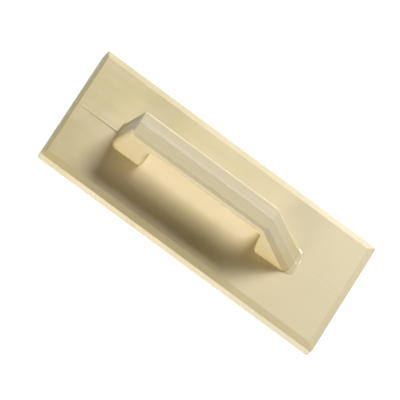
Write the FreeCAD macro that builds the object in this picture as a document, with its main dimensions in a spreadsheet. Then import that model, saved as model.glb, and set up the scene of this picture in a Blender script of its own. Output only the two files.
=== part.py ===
import FreeCAD, Part
import os
import Sketcher

# Plastering float: a bevelled plate with a bridge handle, both moulded in rigid polyurethane.
# Frame: origin at the middle of the sole, +X towards the nose, +Z up, millimetres.

doc = FreeCAD.newDocument("PlasteringFloat")

SIZES = {
    # plate
    "plate_length": 280.0,
    "plate_width": 115.0,
    "plate_thick": 12.0,
    "bevel_drop": 1.8,
    "side_bevel": 6.2,
    "nose_bevel": 6.5,
    "heel_bevel": 3.0,
    "plate_corner": 2.2,
    # handle, heights above the top of the plate
    "heel_foot_x": -96.5,
    "foot_width": 28.0,
    "foot_flare": 0.9,
    "flare_rise": 1.0,
    "foot_corner": 6.0,
    "side_level": 36.2,
    "side_width": 25.2,
    "edge_bevel": 2.8,
    "ridge_rise": 0.3,
    "heel_lean": 2.8,
    "toe_slant": 0.72,
    "nose_fold_x": 47.0,
    "nose_run": 37.4,
    "toe_reach": 3.2,
    "toe_lip": 3.4,
    "lip_slope": 1.6,
    "lip_inset": 0.4,
    # finger opening
    "opening_height": 26.5,
    "heel_inner_foot": -64.5,
    "heel_inner_top": -67.5,
    "nose_inner_foot": 51.5,
    "nose_inner_top": 46.0,
    "opening_corner": 5.0,
    "opening_round": 2.2,
    # tenons under the two feet, and the sockets that take them
    "tenon_depth": 2.5,
    "tenon_inset": 2.0,
    "tenon_corner": 3.0,
    "socket_gap": 0.15,
    # hardwood blocks moulded into the two posts
    "tenon_wall": 3.0,
    "heel_block_height": 24.0,
    "nose_block_cover": 3.6,
    "nose_block_end": 7.0,
    # screws, washers and the plugs that close their bores
    "screw_edge": 3.5,
    "screw_pitch": 10.5,
    "screw_shank": 4.0,
    "screw_tip": 4.0,
    "tip_room": 0.4,
    "pilot_gap": 0.05,
    "shank_play": 0.2,
    "head_width": 7.6,
    "head_height": 2.2,
    "recess_length": 4.4,
    "recess_width": 1.0,
    "recess_depth": 1.2,
    "washer_lip": 0.2,
    "washer_thick": 0.8,
    "washer_play": 0.25,
    "plug_thick": 2.0,
    "plug_fit": 0.1,
    "head_room": 0.2,
}
OVERRUN = 60.0      # how far cutting outlines run past the solid they cut


def make_sheet():
    sheet = doc.addObject("Spreadsheet::Sheet", "Sizes")
    for row, (name, value) in enumerate(SIZES.items(), start=1):
        sheet.set("A%d" % row, name)
        sheet.set("B%d" % row, "%g" % value)
        sheet.setAlias("B%d" % row, name)
    doc.recompute()
    return sheet


sheet = make_sheet()


# ---- expressions over the sheet -------------------------------------------------------------

def cell(name):
    return "Sizes." + name


def amount(expression):
    value = sheet.evalExpression(str(expression))
    return float(getattr(value, "Value", value))


TOP = cell("plate_thick")
RIM = f"({TOP} - {cell('bevel_drop')})"
SIDE_Z = f"({TOP} + {cell('side_level')})"
OPENING_Z = f"({TOP} + {cell('opening_height')})"
TENON_Z = f"({TOP} - {cell('tenon_depth')})"

# the nose slopes from its fold down to the plate; its middle stands a crown higher than its sides
NOSE_SLOPE = f"({cell('side_level')} / {cell('nose_run')})"
NOSE_ANGLE = f"atan{NOSE_SLOPE}"
NOSE_CROWN = f"(({cell('edge_bevel')} + {cell('ridge_rise')}) / cos({NOSE_ANGLE}))"
NOSE_FOOT = f"({cell('nose_fold_x')} + {cell('nose_run')})"
TOE_X = f"({NOSE_FOOT} + {cell('toe_reach')})"

# tenons, and the blocks inside them
TENONS = {
    "heel": (f"({cell('heel_foot_x')} + {cell('tenon_inset')})",
             f"({cell('heel_inner_foot')} - {cell('tenon_inset')})"),
    "nose": (f"({cell('nose_inner_foot')} + {cell('tenon_inset')})",
             f"({TOE_X} - {cell('tenon_inset')})"),
}
TENON_HALF = f"({cell('foot_width')} / 2 - {cell('tenon_inset')})"
BLOCK_WIDTH = f"(2 * ({TENON_HALF} - {cell('tenon_wall')}))"
BLOCK_SINK = f"({NOSE_CROWN} - {cell('nose_block_cover')} / cos({NOSE_ANGLE}))"


def nose_block_z(x):
    """Height of the nose block's sloping top over a place along the plate."""
    return f"({TOP} + ({NOSE_FOOT} - {x}) * {NOSE_SLOPE} + {BLOCK_SINK})"


# screws: a pair in the middle of the heel block, a pair at the tall end of the nose block
HEEL_BLOCK = (f"({TENONS['heel'][0]} + {cell('tenon_wall')})",
              f"({TENONS['heel'][1]} - {cell('tenon_wall')})")
HEEL_MIDDLE = f"(({HEEL_BLOCK[0]} + {HEEL_BLOCK[1]}) / 2)"
HEEL_SCREWS = [f"({HEEL_MIDDLE} - {cell('screw_pitch')} / 2)",
               f"({HEEL_MIDDLE} + {cell('screw_pitch')} / 2)"]
NOSE_BLOCK_LEFT = f"({TENONS['nose'][0]} + {cell('tenon_wall')})"
NOSE_SCREWS = [f"({NOSE_BLOCK_LEFT} + {cell('screw_edge')})",
               f"({NOSE_BLOCK_LEFT} + {cell('screw_edge')} + {cell('screw_pitch')})"]
NOSE_BLOCK = (NOSE_BLOCK_LEFT, f"({NOSE_SCREWS[1]} + {cell('nose_block_end')})")
SCREW_PLACES = HEEL_SCREWS + NOSE_SCREWS
PILOT_BORE = f"({cell('screw_shank')} + 2 * {cell('pilot_gap')})"
SHANK_HOLE = f"({cell('screw_shank')} + 2 * {cell('shank_play')})"
WASHER_WIDTH = f"({cell('head_width')} + 2 * {cell('washer_lip')})"
PLUG_BORE = f"({WASHER_WIDTH} + 2 * {cell('washer_play')})"
PLUG_WIDTH = f"({PLUG_BORE} - 2 * {cell('plug_fit')})"
HEAD_LOW = f"({cell('plug_thick')} + {cell('head_room')})"
HEAD_SEAT = f"({HEAD_LOW} + {cell('head_height')})"
WASHER_SEAT = f"({HEAD_SEAT} + {cell('washer_thick')})"
SCREW_END = f"({nose_block_z(f'({NOSE_SCREWS[1]} + {PILOT_BORE} / 2)')} - {cell('tip_room')})"
SCREW_LENGTH = f"({SCREW_END} - {HEAD_SEAT})"


# ---- bodies and sketches --------------------------------------------------------------------

def new_body(name):
    body = doc.addObject("PartDesign::Body", name)
    body.Label = name
    return body


def plane(body, role):
    return next(item for item in body.Origin.OriginFeatures if item.Role == role)


def new_sketch(body, name, role, lift="0"):
    """A sketch on one of the body's own origin planes, lifted along that plane's normal."""
    sketch = body.newObject("Sketcher::SketchObject", name)
    sketch.AttachmentSupport = [(plane(body, role), "")]
    sketch.MapMode = "FlatFace"
    if lift != "0":
        sketch.setExpression("AttachmentOffset.Base.z", lift)
    doc.recompute()
    return sketch


def pin(sketch, geometry, point, across, up):
    """Hold a point of the sketch at two expressions, measured from the sketch's origin."""
    for kind, expression in (("DistanceX", across), ("DistanceY", up)):
        number = sketch.addConstraint(
            Sketcher.Constraint(kind, -1, 1, geometry, point, amount(expression)))
        sketch.setExpression("Constraints[%d]" % number, str(expression))


def polygon(sketch, corners):
    """A closed outline of straight edges; each corner is a pair of expressions."""
    spots = [FreeCAD.Vector(amount(a), amount(b), 0) for a, b in corners]
    first = sketch.GeometryCount
    count = len(spots)
    for i in range(count):
        sketch.addGeometry(Part.LineSegment(spots[i], spots[(i + 1) % count]))
    for i in range(count):
        following = first + (i + 1) % count
        sketch.addConstraint(Sketcher.Constraint("Coincident", first + i, 2, following, 1))
        pin(sketch, first + i, 1, *corners[i])


def rounded_box(sketch, left, right, half_width, radius):
    """A rectangle with four equal round corners, mirrored about the sketch's X axis."""
    x1 = amount(left)
    x2 = amount(right)
    y = amount(half_width)
    r = amount(radius)
    first = sketch.GeometryCount
    quarter = 3.141592653589793 / 2
    middles = [(x2 - r, -y + r), (x2 - r, y - r), (x1 + r, y - r), (x1 + r, -y + r)]
    starts = [(x1 + r, -y), (x2, -y + r), (x2 - r, y), (x1, y - r)]
    ends = [(x2 - r, -y), (x2, y - r), (x1 + r, y), (x1, -y + r)]
    for i in range(4):
        start = FreeCAD.Vector(*starts[i], 0)
        end = FreeCAD.Vector(*ends[i], 0)
        circle = Part.Circle(FreeCAD.Vector(*middles[i], 0), FreeCAD.Vector(0, 0, 1), r)
        sketch.addGeometry(Part.LineSegment(start, end))
        sketch.addGeometry(Part.ArcOfCircle(circle, (i - 1) * quarter, i * quarter))
    for i in range(4):
        line = first + 2 * i
        arc = line + 1
        following = first + (2 * i + 2) % 8
        sketch.addConstraint(Sketcher.Constraint("Tangent", line, 2, arc, 1))
        sketch.addConstraint(Sketcher.Constraint("Tangent", arc, 2, following, 1))
        sketch.addConstraint(Sketcher.Constraint("Vertical" if i % 2 else "Horizontal", line))
        if i:
            sketch.addConstraint(Sketcher.Constraint("Equal", first + 1, arc))
    radius_row = sketch.addConstraint(Sketcher.Constraint("Radius", first + 1, r))
    sketch.setExpression("Constraints[%d]" % radius_row, str(radius))
    holds = [("DistanceY", first, f"-({half_width})"), ("DistanceX", first + 2, right),
             ("DistanceY", first + 4, half_width), ("DistanceX", first + 6, left)]
    for kind, line, expression in holds:
        number = sketch.addConstraint(
            Sketcher.Constraint(kind, -1, 1, line, 1, amount(expression)))
        sketch.setExpression("Constraints[%d]" % number, str(expression))


def circle(sketch, x, y, diameter):
    middle = FreeCAD.Vector(amount(x), amount(y), 0)
    ring = Part.Circle(middle, FreeCAD.Vector(0, 0, 1), amount(diameter) / 2)
    number = sketch.addGeometry(ring)
    row = sketch.addConstraint(Sketcher.Constraint("Diameter", number, amount(diameter)))
    sketch.setExpression("Constraints[%d]" % row, str(diameter))
    pin(sketch, number, 3, x, y)


def pad(body, sketch, length, reverse=False, middle=False):
    feature = body.newObject("PartDesign::Pad", sketch.Name + "Pad")
    feature.Profile = sketch
    feature.setExpression("Length", length)
    feature.Reversed = reverse
    if middle:
        feature.SideType = "Symmetric"
    doc.recompute()
    return feature


def pocket(body, sketch, length=None, reverse=False, middle=False):
    """Cut a sketch out of the body, and make sure that it does cut."""
    before = body.Shape.Volume
    feature = body.newObject("PartDesign::Pocket", sketch.Name + "Pocket")
    feature.Profile = sketch
    if length is None:
        feature.Type = "ThroughAll"
    else:
        feature.setExpression("Length", length)
    feature.Reversed = reverse
    if middle:
        feature.SideType = "Symmetric"
    doc.recompute()
    if body.Shape.Volume >= before:
        raise RuntimeError(sketch.Name + " cuts nothing")
    return feature


def fillet(body, name, edges, radius):
    feature = body.newObject("PartDesign::Fillet", name)
    feature.Base = (body.Tip if body.Tip != feature else feature.BaseFeature, edges)
    feature.setExpression("Radius", radius)
    doc.recompute()
    return feature


def edges_where(body, wanted):
    """Names of the body's edges whose middle point, start and end pass the test."""
    names = []
    for number, edge in enumerate(body.Shape.Edges, start=1):
        middle = edge.valueAt((edge.FirstParameter + edge.LastParameter) / 2)
        ends = [vertex.Point for vertex in edge.Vertexes]
        if wanted(middle, ends):
            names.append("Edge%d" % number)
    return names


# ---- the plate ------------------------------------------------------------------------------

def end_bevel(name, side):
    """The wedge above one end's bevel, in the XZ plane; side is -1 at the heel, 1 at the nose."""
    end = f"({side} * {cell('plate_length')} / 2)"
    rise = f"({cell('bevel_drop')} + 1)"
    run = f"({cell(name)} * {rise} / {cell('bevel_drop')})"
    outside = f"({end} + {side} * {OVERRUN})"
    return [(outside, RIM), (end, RIM),
            (f"({end} - {side} * {run})", f"({TOP} + 1)"), (outside, f"({TOP} + 1)")]


def side_bevel(side):
    """The wedge above one long side's bevel, in the YZ plane."""
    end = f"({side} * {cell('plate_width')} / 2)"
    rise = f"({cell('bevel_drop')} + 1)"
    run = f"({cell('side_bevel')} * {rise} / {cell('bevel_drop')})"
    outside = f"({end} + {side} * {OVERRUN})"
    return [(outside, RIM), (end, RIM),
            (f"({end} - {side} * {run})", f"({TOP} + 1)"), (outside, f"({TOP} + 1)")]


def make_plate():
    body = new_body("float_plate")
    outline = new_sketch(body, "PlateOutline", "XY_Plane")
    half = f"({cell('plate_length')} / 2)"
    rounded_box(outline, f"-{half}", half, f"({cell('plate_width')} / 2)", cell("plate_corner"))
    pad(body, outline, TOP)

    ends = new_sketch(body, "EndBevels", "XZ_Plane")
    polygon(ends, end_bevel("heel_bevel", -1))
    polygon(ends, end_bevel("nose_bevel", 1))
    pocket(body, ends, middle=True)
    sides = new_sketch(body, "SideBevels", "YZ_Plane")
    for side in (-1, 1):
        polygon(sides, side_bevel(side))
    pocket(body, sides, middle=True)

    gap = cell("socket_gap")
    sockets = new_sketch(body, "Sockets", "XY_Plane", TOP)
    for left, right in TENONS.values():
        rounded_box(sockets, f"({left} - {gap})", f"({right} + {gap})",
                    f"({TENON_HALF} + {gap})", f"({cell('tenon_corner')} + {gap})")
    pocket(body, sockets, f"({cell('tenon_depth')} + {gap})")

    bores = new_sketch(body, "PlugBores", "XY_Plane")
    for x in SCREW_PLACES:
        circle(bores, x, "0", PLUG_BORE)
    pocket(body, bores, WASHER_SEAT, reverse=True)
    holes = new_sketch(body, "ScrewHoles", "XY_Plane")
    for x in SCREW_PLACES:
        circle(holes, x, "0", SHANK_HOLE)
    pocket(body, holes, reverse=True)
    return body


# ---- the handle -----------------------------------------------------------------------------

LOFT_RISE = f"({cell('side_level')} + {cell('edge_bevel')} + {cell('ridge_rise')} + 2)"


def handle_section(body, name, rise, shrink):
    """The handle's plan outline at one height; shrink is how much each side has come in."""
    sketch = new_sketch(body, name, "XY_Plane", f"({TOP} + {rise})")
    leaned = f"({cell('heel_lean')} * {rise} / {cell('side_level')})"
    slanted = f"({cell('toe_slant')} * {rise})"
    rounded_box(sketch, f"({cell('heel_foot_x')} + {leaned} + {shrink})",
                f"({TOE_X} - {slanted})",
                f"({cell('foot_width')} / 2 - {shrink})", cell("foot_corner"))
    return sketch


def roof_outline(sketch):
    """Everything above the handle's crowned top; the sketch's origin is at side_level."""
    half = f"({cell('side_width')} / 2)"
    shoulder = f"({half} - {cell('edge_bevel')})"
    ridge = f"({cell('edge_bevel')} + {cell('ridge_rise')})"
    far = OVERRUN
    polygon(sketch, [(f"-{far}", f"-({far} - {half})"), (f"-{shoulder}", cell("edge_bevel")),
                     ("0", ridge), (shoulder, cell("edge_bevel")),
                     (far, f"-({far} - {half})"), (far, far), (f"-{far}", far)])


def heel_block_outline():
    left, right = HEEL_BLOCK
    top = f"({TOP} + {cell('heel_block_height')})"
    return [(left, TENON_Z), (right, TENON_Z), (right, top), (left, top)]


def nose_block_outline():
    """A block whose top follows the nose, a cover below its surface."""
    left, right = NOSE_BLOCK
    return [(left, TENON_Z), (right, TENON_Z),
            (right, nose_block_z(right)), (left, nose_block_z(left))]


def add_toe_lip(body):
    """A low lip that runs out from under the nose and slopes down all round."""
    root = f"({NOSE_FOOT} - 2 * {cell('foot_corner')})"
    loft_sections = []
    for name, rise, come_in in (("LipFoot", "0", cell("lip_inset")),
                                ("LipTop", cell("flare_rise"),
                                 f"({cell('lip_inset')} + {cell('lip_slope')})")):
        section = new_sketch(body, name, "XY_Plane", f"({TOP} + {rise})")
        rounded_box(section, root, f"({TOE_X} + {cell('toe_lip')} + {cell('lip_inset')} - {come_in})",
                    f"({cell('foot_width')} / 2 - {come_in})", f"({cell('foot_corner')} - {come_in})")
        loft_sections.append(section)
    lip = body.newObject("PartDesign::AdditiveLoft", "ToeLip")
    lip.Profile = loft_sections[0]
    lip.Sections = loft_sections[1:]
    lip.Ruled = True
    doc.recompute()


def make_handle():
    body = new_body("handle")
    flare = cell("foot_flare")
    draft = f"(({cell('foot_width')} - {cell('side_width')}) / 2 - {flare})"
    top_shrink = f"({flare} + {draft} * {LOFT_RISE} / {cell('side_level')})"
    foot = handle_section(body, "FootSection", "0", "0")
    waist = handle_section(body, "WaistSection", cell("flare_rise"), flare)
    crest = handle_section(body, "CrestSection", LOFT_RISE, top_shrink)
    loft = body.newObject("PartDesign::AdditiveLoft", "HandleLoft")
    loft.Profile = foot
    loft.Sections = [waist, crest]
    loft.Ruled = True
    doc.recompute()

    roof = new_sketch(body, "TopRoof", "YZ_Plane")
    roof.setExpression("AttachmentOffset.Base.y", SIDE_Z)
    roof_outline(roof)
    pocket(body, roof, middle=True)
    nose = new_sketch(body, "NoseRoof", "YZ_Plane")
    nose.AttachmentOffset = FreeCAD.Placement(
        FreeCAD.Vector(), FreeCAD.Rotation(FreeCAD.Vector(1, 0, 0), 45))
    nose.setExpression("AttachmentOffset.Base.y", SIDE_Z)
    nose.setExpression("AttachmentOffset.Base.z", cell("nose_fold_x"))
    nose.setExpression("AttachmentOffset.Rotation.Angle", NOSE_ANGLE)
    roof_outline(nose)
    pocket(body, nose, middle=True)

    heel_x = f"({cell('heel_foot_x')} + {flare} + {cell('heel_lean')})"
    reach = f"({cell('edge_bevel')} * 4)"
    heel = new_sketch(body, "HeelBevel", "XZ_Plane")
    polygon(heel, [(f"({heel_x} - {reach})", f"({SIDE_Z} - {reach})"),
                   (f"({heel_x} + {reach})", f"({SIDE_Z} + {reach})"),
                   (f"({heel_x} - {reach})", f"({SIDE_Z} + {reach})")])
    pocket(body, heel, middle=True)
    add_toe_lip(body)

    opening = new_sketch(body, "FingerOpening", "XZ_Plane")
    polygon(opening, [
        (cell("heel_inner_foot"), f"({TOP} - 1)"), (cell("nose_inner_foot"), f"({TOP} - 1)"),
        (cell("nose_inner_foot"), TOP), (cell("nose_inner_top"), OPENING_Z),
        (cell("heel_inner_top"), OPENING_Z), (cell("heel_inner_foot"), TOP)])
    pocket(body, opening, middle=True)

    level = amount(OPENING_Z)
    tops = (amount(cell("heel_inner_top")), amount(cell("nose_inner_top")))
    corners = edges_where(body, lambda middle, ends: abs(middle.z - level) < 0.01
                          and min(abs(middle.x - x) for x in tops) < 0.01)
    fillet(body, "OpeningCorners", corners, cell("opening_corner"))

    inner = (amount(cell("heel_inner_top")), amount(cell("nose_inner_foot")))
    floor = amount(TOP) + amount(cell("flare_rise")) + 0.01
    rims = edges_where(body, lambda middle, ends: floor < middle.z < level + 0.01
                       and inner[0] - 0.01 < middle.x < inner[1] + 0.01 and abs(middle.y) > 5)
    fillet(body, "OpeningRims", rims, cell("opening_round"))

    tenons = new_sketch(body, "Tenons", "XY_Plane", TOP)
    for left, right in TENONS.values():
        rounded_box(tenons, left, right, TENON_HALF, cell("tenon_corner"))
    pad(body, tenons, cell("tenon_depth"), reverse=True)

    for name, outline in (("HeelCavity", heel_block_outline()), ("NoseCavity", nose_block_outline())):
        cavity = new_sketch(body, name, "XZ_Plane")
        polygon(cavity, outline)
        pocket(body, cavity, BLOCK_WIDTH, middle=True)
    return body


# ---- the blocks and fasteners ---------------------------------------------------------------

def make_block(name, outline, screw_places):
    body = new_body(name)
    stem = name.title().replace("_", "")
    profile = new_sketch(body, stem + "Profile", "XZ_Plane")
    polygon(profile, outline)
    pad(body, profile, BLOCK_WIDTH, middle=True)
    pilots = new_sketch(body, stem + "Pilots", "XY_Plane", TENON_Z)
    for x in screw_places:
        circle(pilots, x, "0", PILOT_BORE)
    pocket(body, pilots, f"({SCREW_END} + {cell('pilot_gap')} - {TENON_Z})", reverse=True)
    return body


def solid(kind, name, x, z, **sizes):
    """A Part primitive with its sizes and place bound to the sheet."""
    item = doc.addObject("Part::" + kind, name)
    for size, expression in sizes.items():
        item.setExpression(size, str(expression))
    item.setExpression("Placement.Base.x", str(x))
    item.setExpression("Placement.Base.z", str(z))
    return item


def joined(kind, name, base, tool):
    item = doc.addObject("Part::" + kind, name)
    item.Base = base
    item.Tool = tool
    return item


def make_screw(number, x):
    """A pan-head screw, head down, its bearing face on the washer."""
    tip_z = f"({SCREW_END} - {cell('screw_tip')})"
    shank_radius = f"({cell('screw_shank')} / 2)"
    head = solid("Cylinder", "ScrewHead%d" % number, x, HEAD_LOW,
                 Radius=f"{cell('head_width')} / 2", Height=cell("head_height"))
    shank = solid("Cylinder", "ScrewShank%d" % number, x, HEAD_SEAT,
                  Radius=shank_radius, Height=f"{SCREW_LENGTH} - {cell('screw_tip')}")
    tip = solid("Cone", "ScrewTip%d" % number, x, tip_z,
                Radius1=shank_radius, Radius2=f"{shank_radius} / 5", Height=cell("screw_tip"))
    screw = joined("Fuse", "ScrewRod%d" % number, shank, tip)
    screw = joined("Fuse", "ScrewPlain%d" % number, head, screw)
    for turn, (across, along) in enumerate((("recess_length", "recess_width"),
                                            ("recess_width", "recess_length"))):
        slot = solid("Box", "ScrewSlot%d_%d" % (number, turn), f"({x} - {cell(across)} / 2)",
                     HEAD_LOW, Length=cell(across), Width=cell(along), Height=cell("recess_depth"))
        slot.setExpression("Placement.Base.y", f"-{cell(along)} / 2")
        screw = joined("Cut", "ScrewCut%d_%d" % (number, turn), screw, slot)
    return screw


def make_washer(number, x):
    disc = solid("Cylinder", "WasherDisc%d" % number, x, HEAD_SEAT,
                 Radius=f"{WASHER_WIDTH} / 2", Height=cell("washer_thick"))
    bore = solid("Cylinder", "WasherHole%d" % number, x, HEAD_LOW,
                 Radius=f"{SHANK_HOLE} / 2", Height=TOP)
    return joined("Cut", "Washer%d" % number, disc, bore)


def make_plug(number, x):
    return solid("Cylinder", "Plug%d" % number, x, "0",
                 Radius=f"{PLUG_WIDTH} / 2", Height=cell("plug_thick"))


def group(label, maker):
    """One node that holds a copy of the piece at every screw place."""
    node = doc.addObject("Part::Compound", label + "_group")
    node.Label = label
    node.Links = [maker(number, x) for number, x in enumerate(SCREW_PLACES, start=1)]
    return node


nodes = [
    make_plate(),
    make_handle(),
    make_block("heel_block", heel_block_outline(), HEEL_SCREWS),
    make_block("nose_block", nose_block_outline(), NOSE_SCREWS),
    group("screws", make_screw),
    group("washers", make_washer),
    group("sole_plugs", make_plug),
]
doc.recompute()


# ---- checks, then one STEP file for each node -----------------------------------------------

for item in doc.Objects:
    if "Invalid" in item.State or "Error" in item.State:
        raise RuntimeError("%s failed: %s" % (item.Label, item.State))
for node in nodes:
    if node.Shape.isNull() or not node.Shape.isValid():
        raise RuntimeError(node.Label + " has no valid shape")

os.makedirs("parts", exist_ok=True)
for node in nodes:
    node.Shape.exportStep("parts/%s.step" % node.Label)
    print("%-12s %2d solid(s) %10.1f mm3" % (node.Label, len(node.Shape.Solids), node.Shape.Volume))
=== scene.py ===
# %% [markdown]
# # A plasterer's float in cast cream polyurethane
# The CAD model already says where every piece is and how large it is. Here the two mouldings
# that show, the plate and the bridge handle, are modelled again with the soft edges, the mould's
# parting line and the flared feet that a casting has, and every piece gets a finish of its own.
# The CAD box is measured first, so that nothing made later grows out of it.

# %% Load the imported model
import math

import bmesh
import bpy
from mathutils import Matrix, Vector


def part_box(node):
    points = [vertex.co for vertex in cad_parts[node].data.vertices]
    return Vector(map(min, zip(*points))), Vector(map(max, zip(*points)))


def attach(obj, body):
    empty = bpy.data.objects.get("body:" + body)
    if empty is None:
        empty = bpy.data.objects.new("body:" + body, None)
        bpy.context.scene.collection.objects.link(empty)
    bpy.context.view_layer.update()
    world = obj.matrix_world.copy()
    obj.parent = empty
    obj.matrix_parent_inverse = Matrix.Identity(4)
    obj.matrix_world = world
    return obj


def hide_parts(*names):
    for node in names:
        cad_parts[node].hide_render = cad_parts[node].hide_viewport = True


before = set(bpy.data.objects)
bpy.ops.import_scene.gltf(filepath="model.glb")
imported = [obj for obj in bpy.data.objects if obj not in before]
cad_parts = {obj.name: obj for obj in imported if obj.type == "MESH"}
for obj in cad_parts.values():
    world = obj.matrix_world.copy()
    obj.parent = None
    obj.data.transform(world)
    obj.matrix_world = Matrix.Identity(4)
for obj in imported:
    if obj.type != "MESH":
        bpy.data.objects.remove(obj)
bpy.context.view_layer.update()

MM = 0.001
plate_low, plate_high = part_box("float_plate")
handle_low, handle_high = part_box("handle")
print("nodes:", sorted(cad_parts))

# %% [markdown]
# ## The camera
# The tool is seen from above its near long side, a little from the heel. A long lens from far
# away keeps the plate's edges nearly parallel. The view is set by two angles, a roll and the
# point it is aimed at, which is easier to correct than a camera placed by hand.

# %% Place the camera
VIEW_AZIMUTH = -15.18
VIEW_HEIGHT = 61.84
VIEW_ROLL = 49.91
VIEW_DISTANCE = 6.0
VIEW_WIDTH = 0.33162        # how many metres the view is wide, at the point it is aimed at
AIM = Vector((-8.25, -7.05, 15.0)) * MM


def turn(degrees, axis):
    return Matrix.Rotation(math.radians(degrees), 4, axis)


def clear_selection():
    """Leave edit mode, if it is on, and deselect every object."""
    if bpy.context.mode != "OBJECT":
        bpy.ops.object.mode_set(mode="OBJECT")
    bpy.ops.object.select_all(action="DESELECT")


clear_selection()
bpy.ops.object.camera_add()
camera = bpy.context.object
camera.name = "view_camera"
look = turn(VIEW_AZIMUTH, "Z") @ turn(90 - VIEW_HEIGHT, "X") @ turn(VIEW_ROLL, "Z")
camera.matrix_world = Matrix.Translation(AIM) @ look @ Matrix.Translation((0, 0, VIEW_DISTANCE))
camera.data.lens = camera.data.sensor_width * VIEW_DISTANCE / VIEW_WIDTH
camera.data.clip_end = 4 * VIEW_DISTANCE
bpy.context.scene.camera = camera
print("camera at", [round(v, 2) for v in camera.matrix_world.translation], "lens",
      round(camera.data.lens), "mm")

# %% [markdown]
# ## The floor and the light
# The ground is a white sheet lit from beneath, which shows no shadow. One wide soft light stands
# behind the tool, about halfway up the sky, and throws the handle's shadow across the near half
# of the plate. A weaker one stands low in front and opens up the near walls, and a small one
# beyond the nose picks out the lip at the toe. Below the horizon the sky is blue, which stands
# for the light that the ground sends up to the sides; of the sheet itself the tool only shows
# the reflection.

# %% Lay the floor
FLOOR_SIZE = 8.0
FLOOR_GAP = 0.2 * MM
clear_selection()
bpy.ops.mesh.primitive_plane_add(size=FLOOR_SIZE, location=(0, 0, -FLOOR_GAP))
floor = bpy.context.object
floor.name = "pale_floor"
floor.visible_diffuse = False

# %% Hang the lights
SOFT_LIGHTS = [
    # name, azimuth, height, distance, width, depth, power, colour
    ("back_softbox", 168.0, 40.0, 2.0, 0.85, 0.66, 40.0, (0.99, 1.0, 1.0)),
    ("front_fill", -14.0, 6.5, 1.4, 0.60, 0.60, 21.5, (1.0, 0.95, 0.82)),
    ("nose_light", 122.0, 19.0, 1.4, 0.25, 0.25, 3.4, (1.0, 0.97, 0.90)),
]


def hang_light(name, azimuth, height, distance, width, depth, power, colour):
    """A flat soft light aimed at the tool; azimuth 0 stands on the -Y side, 90 on the +X side."""
    clear_selection()
    bpy.ops.object.light_add(type="AREA")
    light = bpy.context.object
    light.name = name
    light.data.shape = "RECTANGLE"
    light.data.size = width
    light.data.size_y = depth
    light.data.energy = power
    light.data.color = colour
    aim = turn(azimuth, "Z") @ turn(90 - height, "X")
    light.matrix_world = aim @ Matrix.Translation((0, 0, distance))
    return light


for row in SOFT_LIGHTS:
    lamp = hang_light(*row)
    print(lamp.name, "at", [round(v, 2) for v in lamp.matrix_world.translation])
bpy.context.scene.view_settings.view_transform = "Standard"

# %% [markdown]
# ## Modelling by hand, in code
# Every new piece starts as a cube at its own size and is cut to shape in edit mode, as a pattern
# maker saws and planes a block. These helpers do what the hand does: open a piece, pick its
# edges or points by where they are, slice off a corner, round an edge, or carve one shape out of
# another.

# %% Open a piece, and pick parts of it
def open_piece(piece):
    clear_selection()
    piece.select_set(True)
    bpy.context.view_layer.objects.active = piece
    bpy.ops.object.mode_set(mode="EDIT")
    bpy.ops.mesh.select_all(action="SELECT")


def close_piece():
    bpy.ops.object.mode_set(mode="OBJECT")


def pick(piece, kind, wanted):
    """Select only the points, edges or faces that pass a test on their middle, in millimetres."""
    bpy.ops.mesh.select_all(action="DESELECT")
    bpy.ops.mesh.select_mode(type={"verts": "VERT", "edges": "EDGE", "faces": "FACE"}[kind])
    shape = bmesh.from_edit_mesh(piece.data)
    count = 0
    for part in getattr(shape, kind):
        corners = [part] if kind == "verts" else part.verts
        middle = sum((corner.co for corner in corners), Vector()) / len(corners) / MM
        if wanted(middle, part):
            part.select_set(True)
            count += 1
    bmesh.update_edit_mesh(piece.data)
    return count


ALONG = 0.9                 # an edge runs along an axis if its unit vector has more than this of it


def run_of(edge):
    """The direction of an edge, as a unit vector."""
    return (edge.verts[1].co - edge.verts[0].co).normalized()


# %% Start a block, move, slice, round and carve
def add_block(name, low, high):
    """A cube that fills a box given by its corners, with its place in its mesh."""
    clear_selection()
    low = Vector(low)
    high = Vector(high)
    bpy.ops.mesh.primitive_cube_add(size=1, location=(low + high) / 2, scale=high - low)
    block = bpy.context.object
    block.name = name
    bpy.ops.object.transform_apply(location=True, rotation=True, scale=True)
    return block


def shift(piece, wanted, by):
    """Move the points that pass the test by a step given in millimetres."""
    pick(piece, "verts", lambda middle, part: wanted(middle))
    bpy.ops.transform.translate(value=Vector(by) * MM)


def slice_off(point, facing):
    """Saw along a plane, throw away the side that it faces and close the cut."""
    bpy.ops.mesh.select_all(action="SELECT")
    bpy.ops.mesh.bisect(plane_co=Vector(point) * MM, plane_no=facing, use_fill=True,
                        clear_outer=True)


def score(point, facing):
    """Mark a line of edges round the piece where a plane meets it."""
    bpy.ops.mesh.select_all(action="SELECT")
    bpy.ops.mesh.bisect(plane_co=Vector(point) * MM, plane_no=facing)


def round_picked(radius, steps, clamp=True):
    bpy.ops.mesh.bevel(offset=radius * MM, offset_type="OFFSET", segments=steps, profile=0.5,
                       affect="EDGES", clamp_overlap=clamp)


def carve(piece, cutter, operation="DIFFERENCE"):
    """Cut one closed shape out of a piece, or join it on, and put the other shape away."""
    clear_selection()
    bpy.context.view_layer.objects.active = piece
    piece.select_set(True)
    modifier = piece.modifiers.new("carve", "BOOLEAN")
    modifier.operation = operation
    modifier.solver = "EXACT"
    modifier.object = cutter
    bpy.ops.object.modifier_apply(modifier=modifier.name)
    bpy.data.objects.remove(cutter, do_unlink=True)


def report(piece):
    faces = len(piece.data.polygons)
    size = [round(v / MM, 1) for v in piece.dimensions]
    print(piece.name, "has", faces, "faces and measures", size, "mm")


# %% [markdown]
# ## The plate
# The real plate is a slab with a low rim and a bevel on all four sides, cast in one pour, so its
# edges are soft and never knife sharp. A block the size of the CAD plate gets its upright corners
# rounded, then four saw cuts make the bevels, and last the sharp edges are rounded by a little
# over half a millimetre, which is what catches the light along the rim.

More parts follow.
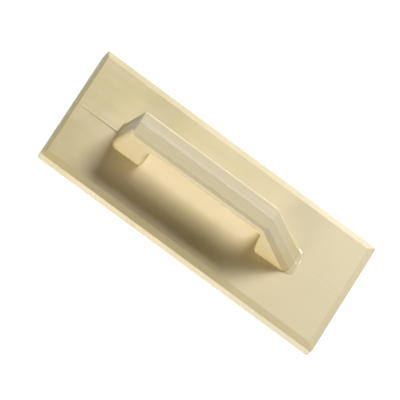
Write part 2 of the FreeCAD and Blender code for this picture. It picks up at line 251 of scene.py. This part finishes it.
# %% Cut the plate
RIM = 10.2
SIDE_BEVEL = 6.2
NOSE_BEVEL = 6.5
HEEL_BEVEL = 3.0
PLATE_CORNER = 2.2
PLATE_EDGE_ROUND = 0.6
plate_top = plate_high.z / MM
plate_end = plate_high.x / MM
plate_side = plate_high.y / MM
bevel_drop = plate_top - RIM

plate = add_block("plate_moulding", plate_low, plate_high)
open_piece(plate)
pick(plate, "edges", lambda middle, edge: abs(run_of(edge).z) > ALONG)
round_picked(PLATE_CORNER, 8)
for side in (-1, 1):
    slice_off((0, side * plate_side, RIM), Vector((0, side * bevel_drop, SIDE_BEVEL)).normalized())
slice_off((-plate_end, 0, RIM), Vector((-bevel_drop, 0, HEEL_BEVEL)).normalized())
slice_off((plate_end, 0, RIM), Vector((bevel_drop, 0, NOSE_BEVEL)).normalized())
bpy.ops.mesh.select_all(action="DESELECT")
bpy.ops.mesh.edges_select_sharp(sharpness=math.radians(12))
round_picked(PLATE_EDGE_ROUND, 3)
close_piece()
report(plate)

# %% [markdown]
# Where the two halves of the mould met, the casting keeps a hair line along its middle. It runs
# from the heel end to the handle's heel and from the toe to the nose end. The line is scored
# into the top and its middle is lifted at both ends of the plate. It is a real bead there, and
# sinks back into the plate on its way to the handle.

# %% Raise the plate's parting line
BEAD_HALF = 0.75
BEAD_HEIGHT = 0.4           # the full height, along the handle and at the rim of the plate
UNDER_FOOT = 3.0            # how far the bead runs on under each end of the handle
SAME_PLACE = 0.01           # points nearer than this to a line or a level count as on it
heel_foot = handle_low.x / MM
toe_foot = handle_high.x / MM

open_piece(plate)
for place in (-BEAD_HALF, 0, BEAD_HALF):
    score((0, place, 0), (0, 1, 0))
for place in (heel_foot + UNDER_FOOT, toe_foot - UNDER_FOOT):
    score((place, 0, 0), (1, 0, 0))
shift(plate, lambda at: abs(at.y) < SAME_PLACE and at.z > RIM - 0.2
      and not heel_foot + 2 < at.x < toe_foot - 2, (0, 0, BEAD_HEIGHT))
close_piece()
report(plate)

# %% [markdown]
# Under the plate four bores hide the screw heads and washers, and each is closed by a plug. On
# top two shallow sockets take the handle's tenons. Both are real hollows here, so that the plugs
# sit in true holes when the tool is turned over. One cutter is modelled for each kind of hollow.

# %% Bore the plate and cut its sockets
BORE_WIDTH = 8.5
SHANK_HOLE = 4.4
WASHER_SEAT = 5.2
SOCKET_DEPTH = 2.65
SOCKET_GAP = 0.15
TENON_INSET = 2.0
TENON_CORNER = 3.0
TOE_LIP = 3.4
OPENING_FEET = (-64.5, 51.5)
HEEL_SCREW_MIDDLE = -80.5
NOSE_SCREW_MIDDLE = 65.25
SCREW_PITCH = 10.5
CUT_PAST = 1.0              # how far a cutter reaches out of the face that it opens
screw_places = [middle + half * SCREW_PITCH / 2
                for middle in (HEEL_SCREW_MIDDLE, NOSE_SCREW_MIDDLE) for half in (-1, 1)]
tenon_half = handle_high.y / MM - TENON_INSET
tenon_spans = [(heel_foot + TENON_INSET, OPENING_FEET[0] - TENON_INSET),
               (OPENING_FEET[1] + TENON_INSET, toe_foot - TOE_LIP - TENON_INSET)]


def add_rod(name, x, low, high, width):
    """An upright round bar that stands at one place along the tool's middle."""
    clear_selection()
    bpy.ops.mesh.primitive_cylinder_add(
        vertices=48, radius=width / 2 * MM, depth=(high - low) * MM,
        location=(x * MM, 0, (low + high) / 2 * MM))
    rod = bpy.context.object
    rod.name = name
    bpy.ops.object.transform_apply(location=True, rotation=True, scale=True)
    return rod


def add_tenon(name, span, low, high, gap):
    """A block with round upright corners, the shape of a tenon and of its socket."""
    tenon = add_block(name, Vector((span[0] - gap, -tenon_half - gap, low)) * MM,
                      Vector((span[1] + gap, tenon_half + gap, high)) * MM)
    open_piece(tenon)
    pick(tenon, "edges", lambda middle, edge: abs(run_of(edge).z) > ALONG)
    round_picked(TENON_CORNER + gap, 6)
    close_piece()
    return tenon


for x in screw_places:
    carve(plate, add_rod("bore", x, -CUT_PAST, WASHER_SEAT, BORE_WIDTH))
    carve(plate, add_rod("screw_hole", x, -CUT_PAST, plate_top - 1, SHANK_HOLE))
for span in tenon_spans:
    carve(plate, add_tenon("socket", span, plate_top - SOCKET_DEPTH, plate_top + CUT_PAST,
                           SOCKET_GAP))
report(plate)

# %% [markdown]
# ## The handle
# The handle is a bridge on two posts. Its sides lean in a little so that it leaves the mould, its
# heel leans forward, and its nose runs down to the plate in one long slope. A block as large as
# its foot is tapered first and sawn second: two facets along the top that meet in a low ridge, a
# bevel on each side of them, and the same four cuts again along the nose, whose bevels are wider.
# The ridge is sawn lower by the height of the bead, which brings it back to its full height.

# %% Taper the handle block
FLARE = 0.9
FLARE_RISE = 1.0
FOOT_CORNER = 6.0
SIDE_LEVEL = 36.2
SIDE_HALF = 12.6
EDGE_BEVEL = 2.8
RIDGE_RISE = 0.3
HEEL_LEAN = 2.8
TOE_SLANT = 0.72
BLOCK_RISE = 41.3
foot_half = handle_high.y / MM
side_draft = (foot_half - FLARE - SIDE_HALF) / SIDE_LEVEL
side_z = plate_top + SIDE_LEVEL


def taper(level, come_in, rise):
    """Bring in the points at one height, as far as the mould's draft has moved them there."""
    steps = [(lambda at: at.x < 0, (HEEL_LEAN / SIDE_LEVEL * rise + come_in, 0, 0)),
             (lambda at: at.x > 0, (-TOE_SLANT * rise, 0, 0)),
             (lambda at: at.y < 0, (0, come_in, 0)),
             (lambda at: at.y > 0, (0, -come_in, 0))]
    for side, by in steps:
        shift(handle, lambda at: abs(at.z - level) < SAME_PLACE and side(at), by)


handle = add_block("handle_moulding", Vector((heel_foot, -foot_half, plate_top)) * MM,
                   Vector((toe_foot - TOE_LIP, foot_half, plate_top + BLOCK_RISE)) * MM)
open_piece(handle)
pick(handle, "edges", lambda middle, edge: abs(run_of(edge).z) > ALONG)
round_picked(FOOT_CORNER, 8)
score((0, 0, plate_top + FLARE_RISE), (0, 0, 1))
taper(plate_top + FLARE_RISE, FLARE, FLARE_RISE)
taper(plate_top + BLOCK_RISE, FLARE + side_draft * BLOCK_RISE, BLOCK_RISE)
close_piece()
report(handle)

# %% Saw the top and the nose
NOSE_FOLD = 47.0
NOSE_RUN = 37.4
NOSE_BEVEL_IN = 1.1         # how much further in the nose's bevels are cut than the grip's
nose_angle = math.atan2(SIDE_LEVEL, NOSE_RUN)
shoulder = SIDE_HALF - EDGE_BEVEL


def saw_roof(fold_x, angle, further_in):
    """Cut two bevels and two low facets along a line that leaves the fold at an angle down."""
    up = Vector((math.sin(angle), 0, math.cos(angle)))
    fold = Vector((fold_x, 0, side_z))
    for side in (-1, 1):
        slice_off(fold + Vector((0, side * (SIDE_HALF - further_in), 0)),
                  (Vector((0, side, 0)) + up).normalized())
        facet = Vector((0, side * RIDGE_RISE, 0)) + up * shoulder
        slice_off(fold + up * (EDGE_BEVEL + RIDGE_RISE - BEAD_HEIGHT), facet.normalized())


open_piece(handle)
saw_roof(0, 0, 0)
saw_roof(NOSE_FOLD, nose_angle, NOSE_BEVEL_IN)
heel_top = heel_foot + FLARE + HEEL_LEAN
slice_off((heel_top, 0, side_z), Vector((-1, 0, 1)).normalized())
close_piece()
report(handle)

# %% [markdown]
# The nose ends on a low lip that runs out from under it and slopes down all round. It is a thin
# slab whose upper face is brought in, joined to the handle.

# %% Join the toe's lip
LIP_SLOPE = 1.6
LIP_INSET = 0.4
lip_root = NOSE_FOLD + NOSE_RUN - 2 * FOOT_CORNER
lip = add_block("toe_lip", Vector((lip_root, LIP_INSET - foot_half, plate_top)) * MM,
                Vector((toe_foot, foot_half - LIP_INSET, plate_top + FLARE_RISE)) * MM)
open_piece(lip)
pick(lip, "edges", lambda middle, edge: abs(run_of(edge).z) > ALONG)
round_picked(FOOT_CORNER - LIP_INSET, 6)
lip_middle = (lip_root + toe_foot) / 2
for wanted, by in ((lambda at: at.x < lip_middle, (LIP_SLOPE, 0, 0)),
                   (lambda at: at.x > lip_middle, (-LIP_SLOPE, 0, 0)),
                   (lambda at: at.y < 0, (0, LIP_SLOPE, 0)),
                   (lambda at: at.y > 0, (0, -LIP_SLOPE, 0))):
    shift(lip, lambda at: at.z > plate_top + FLARE_RISE / 2 and wanted(at), by)
close_piece()
carve(handle, lip, "UNION")
report(handle)

# %% [markdown]
# The finger opening is cut by a block of its own shape. Its two upper corners are rounded before
# the cut, and the rims round the opening afterwards, because a hand closes on them all day.

# %% Cut the finger opening and round its rims
OPENING_TOP = 26.5
OPENING_CEILING = (-67.5, 46.0)
OPENING_CORNER = 5.0
RIM_ROUND = 4.4
opening_z = plate_top + OPENING_TOP

opening = add_block("finger_opening",
                    Vector((OPENING_FEET[0], -2 * foot_half, plate_top - CUT_PAST)) * MM,
                    Vector((OPENING_FEET[1], 2 * foot_half, opening_z)) * MM)
open_piece(opening)
for end, foot, ceiling in zip((-1, 1), OPENING_FEET, OPENING_CEILING):
    lean = (ceiling - foot) / OPENING_TOP
    shift(opening, lambda at: at.x * end > 0, (-lean, 0, 0))
    shift(opening, lambda at: at.x * end > 0 and at.z > plate_top,
          (lean * (OPENING_TOP + CUT_PAST), 0, 0))
pick(opening, "edges", lambda middle, edge: abs(run_of(edge).y) > ALONG and middle.z > plate_top)
round_picked(OPENING_CORNER, 8)
close_piece()
carve(handle, opening)

open_piece(handle)
rims = pick(handle, "edges", lambda middle, edge: abs(middle.y) > SIDE_HALF - 1
            and middle.z < opening_z + 0.1 and abs(run_of(edge).y) < ALONG
            and OPENING_CEILING[0] - 0.1 < middle.x < OPENING_FEET[1] + 0.1
            and middle.z > plate_top + 0.1)
round_picked(RIM_ROUND, 5, clamp=False)
close_piece()
print(rims, "rim edges rounded")
report(handle)

# %% [markdown]
# The fold where the grip turns down into the nose gets its own larger round. What is still sharp
# on a casting is only as sharp as the mould could be cut, so the remaining edges get a small
# round. The bead of the parting line runs up the heel, along the ridge and down the nose, in line
# with the bead on the plate.

# %% Soften the handle's edges and raise its bead
FOLD_ROUND = 1.8
HANDLE_EDGE_ROUND = 0.7

open_piece(handle)
folds = pick(handle, "edges", lambda middle, edge: abs(run_of(edge).y) > ALONG
             and middle.z > side_z + 1 and middle.x > NOSE_FOLD - 1)
round_picked(FOLD_ROUND, 5, clamp=False)
print(folds, "fold edges rounded")
pick(handle, "edges", lambda middle, edge: len(edge.link_faces) == 2
     and edge.calc_face_angle(0) > math.radians(24) and middle.z > plate_top + FLARE_RISE + 0.1)
round_picked(HANDLE_EDGE_ROUND, 2)
for place in (-BEAD_HALF, 0, BEAD_HALF):
    score((0, place, 0), (0, 1, 0))
nose_up = Vector((math.sin(nose_angle), 0, math.cos(nose_angle)))
grip_level = side_z + EDGE_BEVEL - 1
above_plate = plate_top + 0.5
for wanted, by in ((lambda at: at.z > grip_level, (0, 0, BEAD_HEIGHT)),
                   (lambda at: at.x > NOSE_FOLD and above_plate < at.z < grip_level,
                    nose_up * BEAD_HEIGHT),
                   (lambda at: at.x < heel_top + 3 and above_plate < at.z < grip_level,
                    (-BEAD_HEIGHT, 0, 0))):
    shift(handle, lambda at: abs(at.y) < SAME_PLACE and wanted(at), by)
close_piece()
report(handle)

# %% Add the tenons
TENON_DEPTH = 2.5
for span in tenon_spans:
    tenon = add_tenon("tenon", span, plate_top - TENON_DEPTH, plate_top + 2, 0)
    carve(handle, tenon, "UNION")
report(handle)

# %% [markdown]
# The two posts hold hardwood blocks for the screws. Each cavity is cut with a block as large as
# the one that it holds, open underneath, and the nose block's top follows the nose. Then both
# mouldings are shaded by angle, and their normals are weighted by the size of the faces, which
# keeps the broad faces flat and puts the whole turn of the light into the small rounds.

# %% Hollow the posts
BLOCK_COVER = 3.6


def hollow_for(node_name):
    """A closed block that fills the place of a hardwood block and comes out underneath."""
    low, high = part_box(node_name)
    return add_block("hollow", low - Vector((0, 0, CUT_PAST)) * MM, high)


heel_hollow = hollow_for("heel_block")
nose_hollow = hollow_for("nose_block")
open_piece(nose_hollow)
nose_cover = nose_up * (EDGE_BEVEL + RIDGE_RISE - BLOCK_COVER)
slice_off(Vector((NOSE_FOLD, 0, side_z)) + nose_cover, nose_up)
close_piece()
for hollow in (heel_hollow, nose_hollow):
    carve(handle, hollow)
report(handle)

# %% Even out the shading
FLAT_ANGLE = 40.0
FACE_SIZE_WEIGHT = 100


def even_shading(piece):
    clear_selection()
    piece.select_set(True)
    bpy.context.view_layer.objects.active = piece
    bpy.ops.object.shade_smooth_by_angle(angle=math.radians(FLAT_ANGLE))
    modifier = piece.modifiers.new("even_shading", "WEIGHTED_NORMAL")
    modifier.keep_sharp = True
    modifier.weight = FACE_SIZE_WEIGHT
    bpy.ops.object.modifier_apply(modifier=modifier.name)


for piece in (plate, handle):
    even_shading(piece)

# %% [markdown]
# ## Writing finishes as sums
# A finish is a small network of nodes. To read it like a recipe, a socket is wrapped in a class
# whose plus, minus and times add the Math nodes, and one method adds any other node from its
# type, its settings and its inputs.

# %% Wrap sockets and materials
class Signal:
    """A number, colour or vector that varies over a surface: one output socket of a finish."""

    def __init__(self, finish, socket):
        self.finish = finish
        self.socket = socket

    def joined(self, operation, first, second):
        return self.finish.node("ShaderNodeMath", {"operation": operation}, {0: first, 1: second})

    def __add__(self, other):
        return self.joined("ADD", self, other)

    def __radd__(self, other):
        return self.joined("ADD", other, self)

    def __sub__(self, other):
        return self.joined("SUBTRACT", self, other)

    def __rsub__(self, other):
        return self.joined("SUBTRACT", other, self)

    def __mul__(self, other):
        return self.joined("MULTIPLY", self, other)

    def size(self):
        """The same number without its sign."""
        return self.finish.node("ShaderNodeMath", {"operation": "ABSOLUTE"}, {0: self})


class Finish:
    """One material, built from nodes that feed its Principled shader."""

    def __init__(self, name, **constants):
        self.material = bpy.data.materials.new(name)
        self.material.use_nodes = True
        self.tree = self.material.node_tree
        self.shader = self.tree.nodes["Principled BSDF"]
        for socket, value in constants.items():
            self.shader.inputs[socket.replace("_", " ")].default_value = value

    def node(self, kind, settings, inputs, output=0):
        """Add a node, settings first, and hand back one of its outputs."""
        made = self.tree.nodes.new(kind)
        for name, value in settings.items():
            setattr(made, name, value)
        for name, value in inputs.items():
            self.feed(made.inputs[name], value)
        return Signal(self, made.outputs[output])

    def feed(self, socket, value):
        if isinstance(value, Signal):
            self.tree.links.new(value.socket, socket)
        else:
            socket.default_value = value

    def drive(self, name, value):
        self.feed(self.shader.inputs[name], value)

    def place(self, scale=(1, 1, 1)):
        """The point on the piece, stretched; in metres, so a scale of 100 repeats each 10 mm."""
        spot = self.node("ShaderNodeTexCoord", {}, {}, output="Object")
        return self.node("ShaderNodeMapping", {}, {"Vector": spot, "Scale": scale})

    def noise(self, scale, stretch=(1, 1, 1), detail=3.0, roughness=0.5):
        """Cloudy noise about 0, from -1 to 1."""
        cloud = self.node("ShaderNodeTexNoise", {}, {
            "Vector": self.place(stretch), "Scale": scale, "Detail": detail,
            "Roughness": roughness})
        return (cloud - 0.5) * 2

    def step(self, value, low, high):
        """0 below low, 1 above high, and smooth between them."""
        return self.node("ShaderNodeMapRange", {"interpolation_type": "SMOOTHSTEP"},
                         {"Value": value, "From Min": low, "From Max": high})

    def part(self, axis):
        """How far along X, Y or Z a point lies, in metres."""
        return self.node("ShaderNodeSeparateXYZ", {}, {"Vector": self.place()}, output=axis)

    def blend(self, share, first, second):
        """Mix two colours; the share goes to the second."""
        made = self.tree.nodes.new("ShaderNodeMix")
        made.data_type = "RGBA"
        for socket, value in ((made.inputs[0], share), (made.inputs[6], first),
                              (made.inputs[7], second)):
            self.feed(socket, value)
        return Signal(self, made.outputs[2])

    def relief(self, height, distance, strength):
        """A height in millimetres as a bump on the shader's normal."""
        self.drive("Normal", self.node("ShaderNodeBump", {}, {
            "Height": height, "Distance": distance * MM, "Strength": strength}))


# %% [markdown]
# ## Cast polyurethane
# The tool is rigid polyurethane foam with a closed skin. Poured in one go, it is never quite one
# colour: broad clouds of a yellower tone, fine specks, and flow lines along the mould. Its colour
# is also made paler towards the nose. The parting line's bead is painted paler than the rest, a
# painted highlight. The skin is satin and a little uneven, like an egg.

# %% Mix the plate's skin
def cream(red, green, blue):
    return (red, green, blue, 1)


PLATE_PALE = cream(0.81, 0.675, 0.415)
PLATE_DEEP = cream(0.715, 0.605, 0.31)
PLATE_NOSE = cream(0.86, 0.74, 0.48)
SPECK_TONE = cream(0.6, 0.5, 0.28)
BEAD_PAINTED_HIGHLIGHT = cream(0.95, 0.88, 0.68)
BEAD_CORE = 0.4 * BEAD_HALF * MM
BEAD_EDGE = BEAD_HALF * MM
half_length = plate_high.x

plate_skin = Finish("cast_plate_skin", Specular_IOR_Level=0.5)
clouds = plate_skin.noise(16, detail=4)
streaks = plate_skin.noise(30, stretch=(0.3, 3, 3), detail=2)
specks = plate_skin.noise(420, detail=2)
toward_nose = plate_skin.step(plate_skin.part("X"), -half_length, half_length)
tone = plate_skin.blend(plate_skin.step(clouds + streaks * 0.4, -0.35, 0.35), PLATE_PALE,
                        PLATE_DEEP)
tone = plate_skin.blend(toward_nose * 0.8, tone, PLATE_NOSE)
tone = plate_skin.blend(plate_skin.step(specks, 0.25, 0.6) * 0.12, tone, SPECK_TONE)
painted_highlight_on_bead = 1 - plate_skin.step(plate_skin.part("Y").size(), BEAD_CORE, BEAD_EDGE)
past_feet = plate_skin.step(plate_skin.part("X").size(), (toe_foot - UNDER_FOOT) * MM,
                            toe_foot * MM)
above_rim = plate_skin.step(plate_skin.part("Z"), (RIM - 2) * MM, RIM * MM)
# The pale line on the bead at both ends of the plate is a painted highlight.
tone = plate_skin.blend(painted_highlight_on_bead * past_feet * above_rim * 0.25, tone, BEAD_PAINTED_HIGHLIGHT)
plate_skin.drive("Base Color", tone)
plate_skin.drive("Roughness", 0.46 + clouds * 0.08 + specks * 0.05)
ripples = plate_skin.noise(55, detail=2)
peel = plate_skin.noise(600, detail=1)
plate_skin.relief(ripples * 0.8 + peel * 0.05, 0.12, 0.5)
print("the plate's skin has", len(plate_skin.tree.nodes), "nodes")

# %% [markdown]
# The handle is the same casting, but hands have rubbed its top: a little greyer, and brushed with
# fine pale lines along the grip. The lines follow the length, so they are noise that is stretched
# a long way along X and very little across. Down by the plate, where no hand reaches, the skin
# keeps its gloss, which is a clear coat that fades out above the toe's lip.

# %% Mix the handle's skin
HANDLE_PALE = cream(0.80, 0.68, 0.42)
HANDLE_DEEP = cream(0.76, 0.63, 0.35)
HANDLE_RUBBED = cream(0.77, 0.66, 0.41)
BRUSHED_LINE = cream(0.88, 0.79, 0.57)

handle_skin = Finish("cast_handle_skin", Specular_IOR_Level=0.5, Coat_Roughness=0.16)
clouds = handle_skin.noise(20, detail=3)
brushed = handle_skin.noise(60, stretch=(0.08, 7, 3), detail=3, roughness=0.65)
specks = handle_skin.noise(420, detail=2)
on_top = handle_skin.step(handle_skin.part("Z"), (side_z - 6) * MM, (side_z + 2) * MM)
tone = handle_skin.blend(handle_skin.step(clouds, -0.5, 0.5), HANDLE_PALE, HANDLE_DEEP)
tone = handle_skin.blend(on_top * 0.8, tone, HANDLE_RUBBED)
line_share = handle_skin.step(brushed, 0.0, 0.5) * on_top
tone = handle_skin.blend(line_share * 0.7, tone, BRUSHED_LINE)
tone = handle_skin.blend(handle_skin.step(specks, 0.25, 0.6) * 0.10, tone, SPECK_TONE)
painted_highlight_on_bead = 1 - handle_skin.step(handle_skin.part("Y").size(), BEAD_CORE, BEAD_EDGE)
# The pale line along the handle's bead is a painted highlight.
tone = handle_skin.blend(painted_highlight_on_bead * 0.55, tone, BEAD_PAINTED_HIGHLIGHT)
handle_skin.drive("Base Color", tone)
handle_skin.drive("Roughness", 0.50 + clouds * 0.06 - line_share * 0.08)
by_plate = 1 - handle_skin.step(handle_skin.part("Z"), (plate_top + 1.5) * MM,
                                (plate_top + 4) * MM)
handle_skin.drive("Coat Weight", by_plate)
ripples = handle_skin.noise(70, detail=2)
peel = handle_skin.noise(600, detail=1)
handle_skin.relief(ripples * 0.6 + peel * 0.05 + brushed * on_top * 0.25, 0.12, 0.5)
print("the handle's skin has", len(handle_skin.tree.nodes), "nodes")

# %% [markdown]
# The plugs in the sole are filled with the same resin, poured later, so they are a shade deeper
# and show a fine swirl where they were struck off flush.

# %% Mix the plugs' filler
plug_skin = Finish("plug_filler")
swirl = plug_skin.noise(900, detail=3)
pores = plug_skin.noise(2500, detail=1)
tone = plug_skin.blend(plug_skin.step(swirl, -0.4, 0.4), cream(0.66, 0.53, 0.28),
                       cream(0.72, 0.60, 0.35))
tone = plug_skin.blend(plug_skin.step(pores, 0.35, 0.6) * 0.4, tone, cream(0.4, 0.31, 0.16))
plug_skin.drive("Base Color", tone)
plug_skin.drive("Roughness", 0.6 + swirl * 0.1)
plug_skin.relief(swirl - plug_skin.step(pores, 0.35, 0.6), 0.05, 0.6)

# %% [markdown]
# ## What the casting hides
# Two beech blocks take the screws. Beech has short darker flecks and soft year rings along the
# block, so the rings are a wave pattern bent by noise and the flecks are stretched specks.

# %% Mix the beech
beech = Finish("beech_block")
bend = beech.noise(90, stretch=(0.3, 1, 1), detail=2)
rings = beech.node("ShaderNodeTexWave", {"wave_type": "BANDS", "bands_direction": "DIAGONAL"}, {
    "Vector": beech.place((0.15, 1, 1)), "Scale": 130.0, "Distortion": 3.0, "Detail": 2.0,
    "Detail Scale": 1.5}, output="Fac")
flecks = beech.step(beech.noise(900, stretch=(0.12, 1, 1), detail=1), 0.3, 0.6)
tone = beech.blend(rings * 0.6 + bend * 0.2, cream(0.56, 0.36, 0.19), cream(0.42, 0.24, 0.11))
tone = beech.blend(flecks * 0.5, tone, cream(0.26, 0.13, 0.06))
beech.drive("Base Color", tone)
beech.drive("Roughness", 0.55 + rings * 0.12)
beech.relief(rings * 0.5 - flecks, 0.08, 0.6)

# %% [markdown]
# The screws and washers are steel with a bright zinc coat, which is mostly mirror with a fine
# grain, and blooms a little where moisture from the plaster has reached it.

# %% Mix the zinc
zinc = Finish("zinc_coated_steel")
grain = zinc.noise(1500, stretch=(1, 1, 0.2), detail=3)
bloom = zinc.step(zinc.noise(300, detail=4), 0.1, 0.5)
tone = zinc.blend(bloom * 0.6, cream(0.66, 0.67, 0.69), cream(0.52, 0.52, 0.50))
zinc.drive("Base Color", tone)
zinc.drive("Metallic", 1 - bloom * 0.4)
zinc.drive("Roughness", 0.28 + bloom * 0.25 + grain * 0.06)
zinc.relief(grain, 0.02, 0.5)

# %% Light the floor from beneath
sheet_white = Finish("lit_white_sheet", Roughness=1.0, Specular_IOR_Level=0.0)
weave = sheet_white.noise(900, detail=2)
tone = sheet_white.blend(sheet_white.step(weave, -1, 1), cream(0.80, 0.80, 0.80),
                         cream(0.86, 0.86, 0.86))
sheet_white.drive("Base Color", tone)
sheet_white.drive("Emission Color", cream(1, 1, 1))
sheet_white.drive("Emission Strength", 1.0)
floor.data.materials.append(sheet_white.material)

# %% Tint the sky below the horizon
GROUND_TINT = (0.36, 0.49, 0.9, 1)
sky = bpy.data.worlds.new("studio_sky")
bpy.context.scene.world = sky
sky.use_nodes = True
links = sky.node_tree.links
spot = sky.node_tree.nodes.new("ShaderNodeTexCoord")
height = sky.node_tree.nodes.new("ShaderNodeSeparateXYZ")
below = sky.node_tree.nodes.new("ShaderNodeMath")
below.operation = "LESS_THAN"
below.inputs[1].default_value = 0.0
tint = sky.node_tree.nodes.new("ShaderNodeMix")
tint.data_type = "RGBA"
tint.inputs[6].default_value = (0.0, 0.0, 0.0, 1)
tint.inputs[7].default_value = GROUND_TINT
links.new(spot.outputs["Generated"], height.inputs[0])
links.new(height.outputs["Z"], below.inputs[0])
links.new(below.outputs[0], tint.inputs[0])
links.new(tint.outputs[2], sky.node_tree.nodes["Background"].inputs["Color"])

# %% Put the finishes on
FINISHES = {"heel_block": beech, "nose_block": beech, "screws": zinc, "washers": zinc,
            "sole_plugs": plug_skin}


def coat(piece, finish):
    piece.data.materials.clear()
    piece.data.materials.append(finish.material)


for name, finish in FINISHES.items():
    coat(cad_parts[name], finish)
coat(plate, plate_skin)
coat(handle, handle_skin)

# %% [markdown]
# ## Hand the pieces over
# Each new piece is attached to the body that it moves with, and the CAD node that it stands for
# is hidden. Nothing on this tool moves, so all of it rides on the one body.

# %% Finish
for piece, node_name, slot_name in ((plate, "float_plate", "plate_skin"),
                                    (handle, "handle", "handle_skin")):
    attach(piece, "root")
    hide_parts(node_name)
